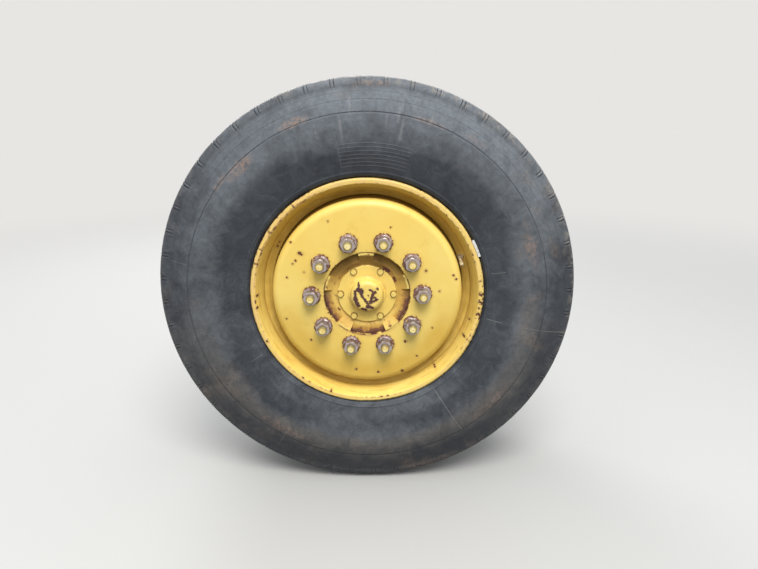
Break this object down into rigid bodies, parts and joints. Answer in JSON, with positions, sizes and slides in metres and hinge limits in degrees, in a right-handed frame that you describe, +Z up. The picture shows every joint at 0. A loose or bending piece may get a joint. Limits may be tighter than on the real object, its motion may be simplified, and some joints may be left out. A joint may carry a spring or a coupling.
{
  "type": "wheel end of a wheeled excavator: wide single wheel and tyre on its steering knuckle",
  "caption": "Wide single wheel and tyre with hub and brake drum, turning on a front steering knuckle with kingpin yoke and steering arms.",
  "frame": {"origin": "where the kingpin's axis crosses the spindle's axis, in the middle of the knuckle's yoke", "axes": "+Z up along the kingpin, -Y outboard along the spindle, +X to the right seen from outboard"},
  "size_m": [1.0718, 0.5618, 1.072],
  "materials": {
    "tyre": "matt",
    "wheel_paint": "satin",
    "valve_brass": "dull",
    "weight_metal": "matt",
    "hub_iron": "matt",
    "drum_iron": "matt",
    "stud_steel": "satin",
    "nut_steel": "dull",
    "cap_steel": "satin",
    "bolt_steel": "dull",
    "bearing_steel": "satin",
    "seal_rubber": "matt",
    "axle_paint": "matt",
    "bush_bronze": "satin",
    "shield_steel": "matt",
    "shaft_steel": "satin",
    "chamber_paint": "satin"
  },
  "bodies": {
    "knuckle": {"knuckle": "axle_paint", "upper_bush": "bush_bronze", "lower_bush": "bush_bronze", "dust_shield": "shield_steel", "shield_bolts": "bolt_steel", "steering_arm": "axle_paint", "tie_rod_arm": "axle_paint", "arm_bolts": "bolt_steel", "spindle_nut": "bearing_steel", "camshaft": "shaft_steel", "chamber_bracket": "axle_paint", "slack_adjuster": "axle_paint", "pushrod": "shaft_steel", "brake_chamber": "chamber_paint", "chamber_nuts": "bolt_steel"},
    "wheel": {"tyre": "tyre", "rim": "wheel_paint", "wheel_disc": "wheel_paint", "valve": "valve_brass", "balance_weight": "weight_metal", "hub": "hub_iron", "brake_drum": "drum_iron", "wheel_studs": "stud_steel", "nut_washers": "nut_steel", "wheel_nuts": "nut_steel", "hub_cap": "cap_steel", "cap_bolts": "bolt_steel", "inner_bearing": "bearing_steel", "outer_bearing": "bearing_steel", "hub_seal": "seal_rubber"}
  },
  "joints": [
    {"name": "wheel_spin", "type": "hinge", "parent": "knuckle", "child": "wheel", "pos_m": [0, -0.084, 0], "axis": [0, -1, 0], "continuous": true}
  ]
}
